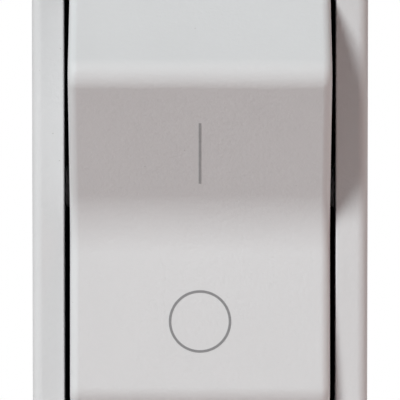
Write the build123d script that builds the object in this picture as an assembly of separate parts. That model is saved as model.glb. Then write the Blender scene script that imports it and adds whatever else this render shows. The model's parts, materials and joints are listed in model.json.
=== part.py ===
from build123d import *
import os
from math import cos, hypot, isclose, radians, sin, sqrt, tan

# A double-pole rocker wall switch, in millimetres. For someone facing it, +X is right and +Z is up, and the
# front faces -Y. The origin is midway between the two fixing holes, in the plane where the lugs meet the wall.
# "Forward" is the distance in front of that plane, so forward = -y. The O half of the rocker is pressed in.

# Rocker, measured from its pivot, with its mid-plane upright
ROCKER_WIDTH = 19.35
ROCKER_THROW = 28.0  # degrees, from O pressed to I pressed
CREST_HALF_SPAN = 13.12  # from the middle of the rocker to each crest
VALLEY_REACH = 7.89  # from the pivot to the bottom of the V
FACE_SLOPE = 20.0  # degrees that each half of the V leans forward
END_FACE_SLOPE = 67.0  # degrees that the end faces fall back from the mid-plane
SKIRT_STEP = 0.35  # how far the skirt stays inside the sweep of the crests
SKIRT_RIM_DROP = 0.3  # how far the rim of the skirt lies behind the pivot
ROCKER_WALL = 1.8
ROCKER_EDGE_ROUND = 0.8
CREST_ROUND = 1.65
VALLEY_ROUND = 6.75
SHOULDER_ROUND = 2.0
SPINE_THICKNESS = 1.6
TRUNNION_RADIUS = 1.6
TRUNNION_CLEARANCE = 0.05
TRUNNION_END_GAP = 0.1

# Bezel
BEZEL_FRONT = 5.2
PRESSED_PROUD = 0.4  # how far the pressed half stands in front of the bezel
ROCKER_SIDE_GAP = 0.44
ROCKER_END_GAP = 0.35
BEZEL_CORNER_ROUND = 2.0
BEZEL_EDGE_ROUND = 0.8
APERTURE_EDGE_ROUND = 0.12
BEZEL_OVERHANG = 0.1  # beyond the housing, all round
PIVOT_LUG_THICKNESS = 1.2
PIVOT_LUG_HEIGHT = 7.0
PIVOT_LUG_TAIL = 3.1  # length behind the pivot
SNAP_PROUD = 0.6
SNAP_HEIGHT = 4.0
SNAP_DEPTH = 0.8
SNAP_SETBACK = 0.4  # from the end of the pivot lug
SNAP_CLEARANCE = 0.1

# Plungers and their springs, measured from the rocker's pivot
POLE_OFFSET = 5.2  # from the middle of the switch to the middle of each pole
PLUNGER_RADIUS = 1.5
PLUNGER_CLEARANCE = 0.05
PLUNGER_REACH = 8.0
PLUNGER_LENGTH = 6.8
PLUNGER_EXPOSED = 3.5
SLEEVE_WALL = 1.05
SPRING_LENGTH = 4.4
SPRING_WIRE_RADIUS = 0.2
SPRING_COIL_RADIUS = 1.15
SPRING_TURNS = 5.0
SPRING_SEAT_GAP = 0.03

# Contact arms and contacts
ARM_SWING = 20.0  # degrees, from open to closed
ARM_DIHEDRAL = 13.0  # degrees that each half of the V leans forward
ARM_THICKNESS = 0.8
ARM_WIDTH = 4.0
ARM_END_MARGIN = 0.3
TIP_GAP = 0.19  # from the plunger's tip to the bottom of the arm's V, in mid throw
BEAD_RADIUS = 0.7
BEAD_CLEARANCE = 0.05
CONTACT_OFFSET = 7.2
CONTACT_RADIUS = 1.5
CONTACT_THICKNESS = 0.6
CONTACT_GAP = 0.15
STOP_RADIUS = 1.2

# Terminal strips, blocks and screws
SADDLE_FLOOR = 0.2
SADDLE_SHOULDER = 0.25  # how far the saddle stops behind the arm's axis
SADDLE_LENGTH = 2.8
CHEEK_GAP = 0.15
CHEEK_THICKNESS = 0.7
CHEEK_REACH = 1.6
STRIP_THICKNESS = 0.8
STRIP_TAIL = 1.0
STRIP_END_MARGIN = 0.4
BLOCK_WIDTH = 6.6
BLOCK_LENGTH = 6.6
BLOCK_DEPTH = 6.8
BLOCK_FRONT_WALL = 1.2
BLOCK_CLEARANCE = 0.15
WIRE_RADIUS = 2.0
WIRE_ENTRY_MARGIN = 0.3
SCREW_RADIUS = 1.5
SCREW_CLEARANCE = 0.03
SCREW_TIP_GAP = 0.1
SCREW_RAISE = 0.4
SCREW_HEAD_RADIUS = 2.6
SCREW_HEAD_HEIGHT = 2.0
SCREW_HEAD_ROUND = 0.3
SCREW_SLOT_WIDTH = 0.7
SCREW_SLOT_DEPTH = 0.9
WELL_CLEARANCE = 0.4
WELL_RECESS = 2.0

# Housing, fixing lugs and rivets
HOUSING_SIDE_WALL = 0.985
HOUSING_END_WALL = 1.55
HOUSING_CORNER_ROUND = 1.5
HOUSING_EDGE_ROUND = 0.6
MOUTH_CHAMFER = 0.4  # at the wire entries and screw wells
FLOOR_THICKNESS = 2.4
BARRIER_THICKNESS = 1.2
BARRIER_GAP = 0.6  # between the barrier and the rocker's rim
TOWER_WALL = 1.2
EAR_REACH = 5.5
EAR_WIDTH = 16.0
EAR_THICKNESS = 2.6
EAR_CORNER_ROUND = 1.0
LUG_WIDTH = 18.0
LUG_THICKNESS = 1.2
LUG_CORNER_ROUND = 3.0
LUG_EDGE_ROUND = 0.2
LUG_END_GAP = 0.2  # between the lug and the bezel
LUG_END_MARGIN = 5.85  # from the fixing hole to the end of the lug
FIXING_CENTRES = 60.3
FIXING_HOLE_RADIUS = 2.1
RIVET_SPREAD = 9.6
RIVET_RADIUS = 1.2
RIVET_CLEARANCE = 0.03
RIVET_HEAD_RADIUS = 2.1
RIVET_HEAD_HEIGHT = 0.8
RIVET_TAIL_HEIGHT = 0.6

# Places that follow from the sizes
HALF_THROW = ROCKER_THROW / 2
CREST_REACH = VALLEY_REACH + CREST_HALF_SPAN * tan(radians(FACE_SLOPE))
SKIRT_RADIUS = hypot(CREST_HALF_SPAN, CREST_REACH) - SKIRT_STEP
PIVOT_FORWARD = BEZEL_FRONT + PRESSED_PROUD - VALLEY_REACH * cos(radians(HALF_THROW))
APERTURE_HALF_WIDTH = ROCKER_WIDTH / 2 + ROCKER_SIDE_GAP
SWEEP_RADIUS = SKIRT_RADIUS + ROCKER_END_GAP
LUG_OUTER_X = APERTURE_HALF_WIDTH + PIVOT_LUG_THICKNESS
LUG_TAIL_FORWARD = PIVOT_FORWARD - PIVOT_LUG_TAIL
HOUSING_HALF_WIDTH = LUG_OUTER_X + SNAP_CLEARANCE + HOUSING_SIDE_WALL
HOUSING_HALF_HEIGHT = SWEEP_RADIUS + HOUSING_END_WALL
BEZEL_HALF_HEIGHT = HOUSING_HALF_HEIGHT + BEZEL_OVERHANG

PLUNGER_BACK = PLUNGER_LENGTH - PLUNGER_REACH
SLEEVE_END = PLUNGER_EXPOSED - PLUNGER_REACH
SLEEVE_BORE_RADIUS = PLUNGER_RADIUS + PLUNGER_CLEARANCE

ARM_LEAN = ARM_DIHEDRAL - ARM_SWING / 2  # lean of the half that is pushed back
ARM_AXIS_FORWARD = PIVOT_FORWARD - PLUNGER_REACH - TIP_GAP - ARM_THICKNESS / cos(radians(ARM_DIHEDRAL))
ARM_HALF_LENGTH = CONTACT_OFFSET + CONTACT_RADIUS + ARM_END_MARGIN
GROOVE_RADIUS = BEAD_RADIUS + BEAD_CLEARANCE
STRIP_FRONT = ARM_AXIS_FORWARD - GROOVE_RADIUS - SADDLE_FLOOR
FLOOR_FRONT = STRIP_FRONT - STRIP_THICKNESS
FLOOR_BACK = FLOOR_FRONT - FLOOR_THICKNESS
STRIP_WIDTH = ARM_WIDTH + 2 * (CHEEK_GAP + CHEEK_THICKNESS)
CLOSED_CONTACT_Z = -CONTACT_OFFSET * cos(radians(ARM_LEAN))

BLOCK_OUTER_Z = SWEEP_RADIUS - BLOCK_CLEARANCE
BLOCK_INNER_Z = BLOCK_OUTER_Z - BLOCK_LENGTH
BLOCK_BACK = FLOOR_FRONT - BLOCK_DEPTH
WIRE_FORWARD = FLOOR_FRONT - BLOCK_FRONT_WALL - WIRE_RADIUS
BLOCK_MIDDLE_Z = (BLOCK_INNER_Z + BLOCK_OUTER_Z) / 2
SCREW_SEAT = BLOCK_BACK - SCREW_RAISE
HOUSING_BACK = SCREW_SEAT - SCREW_HEAD_HEIGHT - WELL_RECESS
TOWER_INNER_Z = BLOCK_INNER_Z - BLOCK_CLEARANCE - TOWER_WALL

EAR_END_Z = HOUSING_HALF_HEIGHT + EAR_REACH
LUG_START_Z = BEZEL_HALF_HEIGHT + LUG_END_GAP
LUG_END_Z = FIXING_CENTRES / 2 + LUG_END_MARGIN
RIVET_Z = (LUG_START_Z + EAR_END_Z) / 2

POLES = {"left": -POLE_OFFSET, "right": POLE_OFFSET}
ENDS = {"top": 1, "bottom": -1}


def block(x, forward, z):
    """Box over three (low, high) pairs."""
    low = (x[0], -forward[1], z[0])
    size = (x[1] - x[0], forward[1] - forward[0], z[1] - z[0])
    return Pos(*low) * Box(*size, align=(Align.MIN, Align.MIN, Align.MIN))


def rod_x(radius, x, forward, z):
    """Round bar along X over the pair x."""
    middle = (x[0] + x[1]) / 2
    return Pos(middle, -forward, z) * Rot(0, 90, 0) * Cylinder(radius, x[1] - x[0])


def rod_forward(radius, x, forward, z):
    """Round bar from back to front over the pair forward."""
    middle = (forward[0] + forward[1]) / 2
    return Pos(x, -middle, z) * Rot(90, 0, 0) * Cylinder(radius, forward[1] - forward[0])


def rod_z(radius, x, forward, z):
    """Upright round bar over the pair z."""
    middle = (z[0] + z[1]) / 2
    return Pos(x, -forward, middle) * Cylinder(radius, z[1] - z[0])


def around(middle, half):
    """Pair that reaches half to each side of middle."""
    return (middle - half, middle + half)


def end_span(end, inner, outer):
    """Pair of z values from inner to outer, towards the top (+1) or the bottom (-1)."""
    return tuple(sorted((end * inner, end * outer)))


def plate(width, height, corner, forward):
    """Upright plate with rounded corners, centred on the switch, over the pair forward."""
    outline = Plane.XZ.offset(forward[0]) * RectangleRounded(width, height, corner)
    return extrude(outline, forward[1] - forward[0])


def in_rocker(shape):
    """Places a shape drawn about the rocker's pivot, with the O half pressed in."""
    return Pos(0, -PIVOT_FORWARD, 0) * Rot(HALF_THROW, 0, 0) * shape


def in_arm(shape, x):
    """Places a shape drawn about a contact arm's axis, with the contact open."""
    return Pos(x, -ARM_AXIS_FORWARD, 0) * Rot(-ARM_SWING / 2, 0, 0) * shape


def rounded(face, corner, radius):
    """Rounds the one corner of a flat face that lies at the given point."""
    return fillet(face.vertices().sort_by_distance(corner)[0], radius)


def shoulder():
    """Where an end face meets the skirt, as (forward, z) from the pivot."""
    slope = radians(END_FACE_SLOPE)
    along = CREST_HALF_SPAN * cos(slope) - CREST_REACH * sin(slope)
    outside = CREST_HALF_SPAN**2 + CREST_REACH**2 - SKIRT_RADIUS**2
    run = sqrt(along**2 - outside) - along
    return (CREST_REACH - run * sin(slope), CREST_HALF_SPAN + run * cos(slope))


def rocker_outline(rim_drop):
    """Side outline of the rocker with sharp corners, drawn with back to the right."""
    shoulder_forward, shoulder_z = shoulder()
    middle_forward = (shoulder_forward - rim_drop) / 2
    middle_z = sqrt(SKIRT_RADIUS**2 - middle_forward**2)
    rim_z = sqrt(SKIRT_RADIUS**2 - rim_drop**2)
    face_line = Polyline(
        (-shoulder_forward, shoulder_z),
        (-CREST_REACH, CREST_HALF_SPAN),
        (-VALLEY_REACH, 0),
        (-CREST_REACH, -CREST_HALF_SPAN),
        (-shoulder_forward, -shoulder_z),
    )
    skirts = [
        ThreePointArc(
            (-shoulder_forward, side * shoulder_z),
            (-middle_forward, side * middle_z),
            (rim_drop, side * rim_z),
        )
        for side in (1, -1)
    ]
    rim = Line((rim_drop, rim_z), (rim_drop, -rim_z))
    return make_face([*face_line.edges(), *skirts, rim])


def rocker_block():
    """Rocker's outside with its edges rounded, still solid."""
    shoulder_forward, shoulder_z = shoulder()
    outline = rounded(rocker_outline(SKIRT_RIM_DROP), (-VALLEY_REACH, 0), VALLEY_ROUND)
    for side in (1, -1):
        outline = rounded(outline, (-CREST_REACH, side * CREST_HALF_SPAN), CREST_ROUND)
        outline = rounded(outline, (-shoulder_forward, side * shoulder_z), SHOULDER_ROUND)
    solid = extrude(Plane.YZ * outline, ROCKER_WIDTH / 2, both=True)
    sides = solid.faces().sort_by(Axis.X)
    side_edges = [*sides[0].edges(), *sides[-1].edges()]
    return fillet([edge for edge in side_edges if edge.center().Y < 0], ROCKER_EDGE_ROUND)


def rocker():
    """Hollow rocker with its spine, plunger sleeves and pivot stubs."""
    outside = rocker_block()
    room = offset(rocker_outline(SKIRT_RIM_DROP + 2 * ROCKER_WALL), -ROCKER_WALL, kind=Kind.INTERSECTION)
    inner_half_width = ROCKER_WIDTH / 2 - ROCKER_WALL
    shell = outside - extrude(Plane.YZ * room, inner_half_width, both=True)
    roof = VALLEY_REACH - ROCKER_WALL / 2
    spine_x = around(0, inner_half_width + ROCKER_WALL / 2)
    shell += block(spine_x, (-SKIRT_RIM_DROP, roof), around(0, SPINE_THICKNESS / 2))
    for x in POLES.values():
        shell += rod_forward(SLEEVE_BORE_RADIUS + SLEEVE_WALL, x, (SLEEVE_END, roof), 0)
    for x in POLES.values():
        shell -= rod_forward(SLEEVE_BORE_RADIUS, x, (SLEEVE_END, PLUNGER_BACK + SPRING_LENGTH), 0)
    stub = (inner_half_width, LUG_OUTER_X - TRUNNION_END_GAP)
    shell += rod_x(TRUNNION_RADIUS, stub, 0, 0)
    shell += rod_x(TRUNNION_RADIUS, (-stub[1], -stub[0]), 0, 0)
    return in_rocker(shell)


def pivot_lug(side):
    """One of the bezel's rear lugs, with its snap ridge and the bearing hole for a pivot stub."""
    x = tuple(sorted((side * APERTURE_HALF_WIDTH, side * LUG_OUTER_X)))
    snap_x = tuple(sorted((side * LUG_OUTER_X, side * (LUG_OUTER_X + SNAP_PROUD))))
    snap_back = LUG_TAIL_FORWARD + SNAP_SETBACK
    lug = block(x, (LUG_TAIL_FORWARD, 0), around(0, PIVOT_LUG_HEIGHT / 2))
    lug += block(snap_x, (snap_back, snap_back + SNAP_DEPTH), around(0, SNAP_HEIGHT / 2))
    return lug - rod_x(TRUNNION_RADIUS + TRUNNION_CLEARANCE, x, PIVOT_FORWARD, 0)


def bezel():
    """Front frame with its rounded opening and the two pivot lugs."""
    width = 2 * (HOUSING_HALF_WIDTH + BEZEL_OVERHANG)
    frame = plate(width, 2 * BEZEL_HALF_HEIGHT, BEZEL_CORNER_ROUND, (0, BEZEL_FRONT))
    frame = fillet(frame.faces().sort_by(Axis.Y)[0].edges(), BEZEL_EDGE_ROUND)
    frame -= rod_x(SWEEP_RADIUS, around(0, APERTURE_HALF_WIDTH), PIVOT_FORWARD, 0)
    opening = frame.faces().sort_by(Axis.Y)[0].inner_wires()[0]
    frame = fillet(opening.edges(), APERTURE_EDGE_ROUND)
    return frame + pivot_lug(-1) + pivot_lug(1)


def terminal_tower(end):
    """Deep part of the housing behind the terminals at one end."""
    tower = plate(
        2 * HOUSING_HALF_WIDTH, 2 * HOUSING_HALF_HEIGHT, HOUSING_CORNER_ROUND, (HOUSING_BACK, FLOOR_BACK)
    )
    z = end_span(end, TOWER_INNER_Z, HOUSING_HALF_HEIGHT)
    tower &= block(around(0, HOUSING_HALF_WIDTH), (HOUSING_BACK, FLOOR_BACK), z)
    return fillet(tower.faces().sort_by(Axis.Y)[-1].edges(), HOUSING_EDGE_ROUND)


def ear(end):
    """Ear that carries a fixing lug, with its two rivet holes."""
    reach = 2 * EAR_END_Z
    shape = plate(EAR_WIDTH, reach, EAR_CORNER_ROUND, (-EAR_THICKNESS, 0))
    z = end_span(end, SWEEP_RADIUS + HOUSING_END_WALL / 2, EAR_END_Z)
    shape &= block(around(0, EAR_WIDTH / 2), (-EAR_THICKNESS, 0), z)
    for x in around(0, RIVET_SPREAD / 2):
        shape -= rod_forward(RIVET_RADIUS + RIVET_CLEARANCE, x, (-EAR_THICKNESS, 0), end * RIVET_Z)
    return shape


def terminal_cut(x, end):
    """Room for one terminal block, its wire entry and its screw."""
    half_width = BLOCK_WIDTH / 2 + BLOCK_CLEARANCE
    z = end_span(end, BLOCK_INNER_Z - BLOCK_CLEARANCE, SWEEP_RADIUS)
    entry_z = end_span(end, BLOCK_MIDDLE_Z, HOUSING_HALF_HEIGHT)
    cut = block(around(x, half_width), (BLOCK_BACK, FLOOR_FRONT), z)
    cut += rod_z(WIRE_RADIUS + WIRE_ENTRY_MARGIN, x, WIRE_FORWARD, entry_z)
    well = (HOUSING_BACK, BLOCK_BACK)
    return cut + rod_forward(SCREW_HEAD_RADIUS + WELL_CLEARANCE, x, well, end * BLOCK_MIDDLE_Z)


def lug_pocket(side):
    """Room in a side wall for a pivot lug, and the window for its snap ridge."""
    inner, outer = APERTURE_HALF_WIDTH, LUG_OUTER_X + SNAP_CLEARANCE
    x = tuple(sorted((side * inner, side * outer)))
    window_x = tuple(sorted((side * outer, side * HOUSING_HALF_WIDTH)))
    snap_back = LUG_TAIL_FORWARD + SNAP_SETBACK
    window = (snap_back - SNAP_CLEARANCE, snap_back + SNAP_DEPTH + SNAP_CLEARANCE)
    pocket = block(x, (LUG_TAIL_FORWARD - SNAP_CLEARANCE, 0), around(0, PIVOT_LUG_HEIGHT / 2 + SNAP_CLEARANCE))
    return pocket + block(window_x, window, around(0, SNAP_HEIGHT / 2 + SNAP_CLEARANCE))


def is_mouth(edge):
    """Whether an edge is the outer rim of a wire entry or a screw well."""
    at_end = isclose(abs(edge.center().Z), HOUSING_HALF_HEIGHT)
    at_back = isclose(edge.center().Y, -HOUSING_BACK)
    return edge.is_closed and (at_end or at_back)


def housing():
    """Body that holds both poles, with the barrier between them."""
    body = plate(2 * HOUSING_HALF_WIDTH, 2 * HOUSING_HALF_HEIGHT, HOUSING_CORNER_ROUND, (FLOOR_BACK, 0))
    body -= block(around(0, APERTURE_HALF_WIDTH), (FLOOR_FRONT, 0), around(0, SWEEP_RADIUS))
    for end in ENDS.values():
        body += terminal_tower(end) + ear(end)
    rim_swing = SKIRT_RADIUS * sin(radians(HALF_THROW)) + SKIRT_RIM_DROP
    barrier_front = PIVOT_FORWARD - rim_swing - BARRIER_GAP
    body += block(around(0, BARRIER_THICKNESS / 2), (FLOOR_FRONT, barrier_front), around(0, SWEEP_RADIUS))
    for end in ENDS.values():
        for x in POLES.values():
            body -= terminal_cut(x, end)
    body = chamfer(body.edges().filter_by(is_mouth), MOUTH_CHAMFER)
    return body - lug_pocket(-1) - lug_pocket(1)


def fixing_lug(end):
    """Steel lug with its fixing hole and two rivet holes."""
    lug = plate(LUG_WIDTH, 2 * LUG_END_Z, LUG_CORNER_ROUND, (0, LUG_THICKNESS))
    lug &= block(around(0, LUG_WIDTH / 2), (0, LUG_THICKNESS), end_span(end, LUG_START_Z, LUG_END_Z))
    lug = fillet(lug.faces().sort_by(Axis.Y)[0].edges(), LUG_EDGE_ROUND)
    lug -= rod_forward(FIXING_HOLE_RADIUS, 0, (0, LUG_THICKNESS), end * FIXING_CENTRES / 2)
    for x in around(0, RIVET_SPREAD / 2):
        lug -= rod_forward(RIVET_RADIUS + RIVET_CLEARANCE, x, (0, LUG_THICKNESS), end * RIVET_Z)
    return lug


def lug_rivet(x, z):
    """Round-headed rivet through a fixing lug and its ear."""
    head = rod_forward(RIVET_HEAD_RADIUS, x, (LUG_THICKNESS, LUG_THICKNESS + RIVET_HEAD_HEIGHT), z)
    head = fillet(head.edges().sort_by(Axis.Y)[0], RIVET_HEAD_HEIGHT / 2)
    shank = rod_forward(RIVET_RADIUS, x, (-EAR_THICKNESS, LUG_THICKNESS), z)
    tail = rod_forward(RIVET_HEAD_RADIUS, x, (-EAR_THICKNESS - RIVET_TAIL_HEIGHT, -EAR_THICKNESS), z)
    return head + shank + tail


def plunger(x):
    """Round-nosed pin that slides in a sleeve of the rocker."""
    nose = PLUNGER_RADIUS - PLUNGER_REACH
    pin = rod_forward(PLUNGER_RADIUS, x, (nose, PLUNGER_BACK), 0)
    return in_rocker(pin + Pos(x, -nose, 0) * Sphere(PLUNGER_RADIUS))


def plunger_spring(x):
    """Coil spring between a plunger and the end of its sleeve."""
    inset = SPRING_WIRE_RADIUS + SPRING_SEAT_GAP
    height = SPRING_LENGTH - 2 * inset
    path = Helix(height / SPRING_TURNS, height, SPRING_COIL_RADIUS)
    wire = sweep(Plane(path @ 0, z_dir=path % 0) * Circle(SPRING_WIRE_RADIUS), path, is_frenet=True)
    return in_rocker(Pos(x, -(PLUNGER_BACK + inset), 0) * Rot(90, 0, 0) * wire)


def contact_arm(x):
    """V-shaped seesaw with the bead that it rocks on."""
    half_width = ARM_WIDTH / 2
    arm = rod_x(BEAD_RADIUS, around(0, half_width), 0, 0)
    for end in ENDS.values():
        half = block(around(0, half_width), (0, ARM_THICKNESS), end_span(end, 0, ARM_HALF_LENGTH))
        arm += Rot(end * ARM_DIHEDRAL, 0, 0) * half
    return in_arm(arm, x)


def moving_contact(x):
    """Contact button on the back of the arm's lower half."""
    button = rod_forward(CONTACT_RADIUS, 0, (-CONTACT_THICKNESS, 0), -CONTACT_OFFSET)
    return in_arm(Rot(-ARM_DIHEDRAL, 0, 0) * button, x)


def pushed_back(thickness, radius):
    """Forward place that clears, by the contact gap, a button on the arm half that is pushed back."""
    lean = radians(ARM_LEAN)
    return ARM_AXIS_FORWARD + (CONTACT_OFFSET - radius) * sin(lean) - thickness * cos(lean) - CONTACT_GAP


def fixed_contact(x):
    """Contact button on the load strip."""
    front = pushed_back(CONTACT_THICKNESS, CONTACT_RADIUS)
    return rod_forward(CONTACT_RADIUS, x, (STRIP_FRONT, front), CLOSED_CONTACT_Z)


def line_strip(x):
    """Brass strip from the upper terminal, with the arm's saddle, its cheeks and the open stop."""
    saddle_z = around(0, SADDLE_LENGTH / 2)
    strip_z = (-SADDLE_LENGTH / 2 - STRIP_TAIL, BLOCK_OUTER_Z)
    strip = block(around(x, STRIP_WIDTH / 2), (FLOOR_FRONT, STRIP_FRONT), strip_z)
    strip += block(around(x, STRIP_WIDTH / 2), (STRIP_FRONT, ARM_AXIS_FORWARD - SADDLE_SHOULDER), saddle_z)
    for side in (-1, 1):
        cheek_x = x + side * (STRIP_WIDTH - CHEEK_THICKNESS) / 2
        cheek_forward = (STRIP_FRONT, ARM_AXIS_FORWARD + CHEEK_REACH)
        strip += block(around(cheek_x, CHEEK_THICKNESS / 2), cheek_forward, saddle_z)
    strip -= rod_x(GROOVE_RADIUS, around(x, ARM_WIDTH / 2 + CHEEK_GAP), ARM_AXIS_FORWARD, 0)
    return strip + rod_forward(STOP_RADIUS, x, (STRIP_FRONT, pushed_back(0, STOP_RADIUS)), -CLOSED_CONTACT_Z)


def load_strip(x):
    """Brass strip from the fixed contact to the lower terminal."""
    inner_z = CLOSED_CONTACT_Z + CONTACT_RADIUS + STRIP_END_MARGIN
    return block(around(x, STRIP_WIDTH / 2), (FLOOR_FRONT, STRIP_FRONT), (-BLOCK_OUTER_Z, inner_z))


def terminal_block(x, end):
    """Brass block with the wire bore and the tapped hole for its screw."""
    z = end_span(end, BLOCK_INNER_Z, BLOCK_OUTER_Z)
    body = block(around(x, BLOCK_WIDTH / 2), (BLOCK_BACK, FLOOR_FRONT), z)
    body -= rod_z(WIRE_RADIUS, x, WIRE_FORWARD, z)
    tapped = (BLOCK_BACK, WIRE_FORWARD)
    return body - rod_forward(SCREW_RADIUS + SCREW_CLEARANCE, x, tapped, end * BLOCK_MIDDLE_Z)


def terminal_screw(x, end):
    """Slotted clamp screw, backed off so that the wire bore is free."""
    z = end * BLOCK_MIDDLE_Z
    tip = WIRE_FORWARD - WIRE_RADIUS - SCREW_TIP_GAP
    head_back = SCREW_SEAT - SCREW_HEAD_HEIGHT
    head = rod_forward(SCREW_HEAD_RADIUS, x, (head_back, SCREW_SEAT), z)
    head = fillet(head.edges().sort_by(Axis.Y)[-1], SCREW_HEAD_ROUND)
    slot = (head_back, head_back + SCREW_SLOT_DEPTH)
    head -= block(around(x, SCREW_HEAD_RADIUS), slot, around(z, SCREW_SLOT_WIDTH / 2))
    return head + rod_forward(SCREW_RADIUS, x, (SCREW_SEAT, tip), z)


def pieces():
    """Every piece of the switch by its node name."""
    made = {"bezel": bezel(), "rocker": rocker(), "housing": housing()}
    for name, end in ENDS.items():
        made[f"fixing_lug_{name}"] = fixing_lug(end)
    rivet_places = [(x, end * RIVET_Z) for end in ENDS.values() for x in around(0, RIVET_SPREAD / 2)]
    made["lug_rivets"] = Compound(children=[lug_rivet(x, z) for x, z in rivet_places])
    for name, x in POLES.items():
        made[f"plunger_{name}"] = plunger(x)
        made[f"plunger_spring_{name}"] = plunger_spring(x)
        made[f"contact_arm_{name}"] = contact_arm(x)
        made[f"moving_contact_{name}"] = moving_contact(x)
        made[f"fixed_contact_{name}"] = fixed_contact(x)
        made[f"line_strip_{name}"] = line_strip(x)
        made[f"load_strip_{name}"] = load_strip(x)
        made[f"line_block_{name}"] = terminal_block(x, ENDS["top"])
        made[f"load_block_{name}"] = terminal_block(x, ENDS["bottom"])
    screw_places = [(x, end) for end in ENDS.values() for x in POLES.values()]
    made["terminal_screws"] = Compound(children=[terminal_screw(x, end) for x, end in screw_places])
    return made


os.makedirs("parts", exist_ok=True)
for node, shape in pieces().items():
    export_step(shape, f"parts/{node}.step")
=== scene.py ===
"""Looks of a white rocker wall switch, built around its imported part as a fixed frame.

Lengths are in metres, in the part's own frame: X to the right, Z up, the front facing -Y.
"""

import json
import logging
from dataclasses import dataclass
from enum import Enum
from math import atan2, cos, pi, radians, sin, sqrt, tan

import bmesh
import bpy
from bmesh.types import BMEdge, BMesh, BMFace, BMVert
from bpy.types import Material, Node, NodeSocket, Object
from mathutils import Matrix, Vector


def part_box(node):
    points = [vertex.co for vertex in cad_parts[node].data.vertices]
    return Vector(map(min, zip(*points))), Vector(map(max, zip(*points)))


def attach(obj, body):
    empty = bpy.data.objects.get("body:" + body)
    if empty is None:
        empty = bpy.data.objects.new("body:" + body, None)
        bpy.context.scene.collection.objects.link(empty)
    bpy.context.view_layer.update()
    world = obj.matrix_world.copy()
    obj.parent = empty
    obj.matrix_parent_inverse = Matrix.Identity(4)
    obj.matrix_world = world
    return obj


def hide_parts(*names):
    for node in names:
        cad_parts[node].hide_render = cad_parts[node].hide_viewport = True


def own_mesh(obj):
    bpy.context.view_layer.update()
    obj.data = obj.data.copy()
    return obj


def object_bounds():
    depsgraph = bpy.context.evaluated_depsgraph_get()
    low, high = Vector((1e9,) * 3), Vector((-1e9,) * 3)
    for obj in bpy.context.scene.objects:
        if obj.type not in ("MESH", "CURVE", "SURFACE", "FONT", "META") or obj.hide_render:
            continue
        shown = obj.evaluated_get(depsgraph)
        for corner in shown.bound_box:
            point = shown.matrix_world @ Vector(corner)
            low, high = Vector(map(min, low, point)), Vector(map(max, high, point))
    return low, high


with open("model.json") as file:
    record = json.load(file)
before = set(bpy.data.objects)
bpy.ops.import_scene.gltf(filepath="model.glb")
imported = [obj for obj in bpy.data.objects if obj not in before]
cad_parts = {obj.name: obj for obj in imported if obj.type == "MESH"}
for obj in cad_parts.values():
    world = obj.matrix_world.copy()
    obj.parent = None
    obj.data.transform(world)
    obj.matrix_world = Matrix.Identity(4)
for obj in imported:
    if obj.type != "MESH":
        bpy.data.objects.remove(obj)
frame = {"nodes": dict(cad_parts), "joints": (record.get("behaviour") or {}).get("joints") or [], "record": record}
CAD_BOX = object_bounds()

MM = 0.001
SHARP_ANGLE = radians(32)
MERGE = 1e-4 * MM
NOISE_LOW = 0.3
NOISE_HIGH = 0.7
ROUND_FLATS = 48
COIL_FLATS = 32
JOINTS = {joint["name"]: joint for joint in frame["joints"]}
Colour = tuple[float, float, float]
Stretch = tuple[float, float, float]
log = logging.getLogger("wall_switch")


class Body(str, Enum):
    """Bodies of the part that a piece can ride on."""

    FRAME = "frame"
    ROCKER = "rocker"


class Slot(str, Enum):
    """Material slots of the part's record."""

    WHITE_MOULDING = "white_moulding"
    DARK_PHENOLIC = "dark_phenolic"
    ZINC_STEEL = "zinc_steel"
    RIVET_STEEL = "rivet_steel"
    SPRING_STEEL = "spring_steel"
    STRIP_BRASS = "strip_brass"
    BLOCK_BRASS = "block_brass"
    SCREW_BRASS = "screw_brass"
    CONTACT_SILVER = "contact_silver"
    PLUNGER_NYLON = "plunger_nylon"


class Pole(str, Enum):
    """The two poles, by the side that they lie on."""

    LEFT = "left"
    RIGHT = "right"

    @property
    def x(self) -> float:
        """Distance of the pole's middle plane from the switch's own."""
        low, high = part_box(f"plunger_{self.value}")
        return (low.x + high.x) / 2


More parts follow.
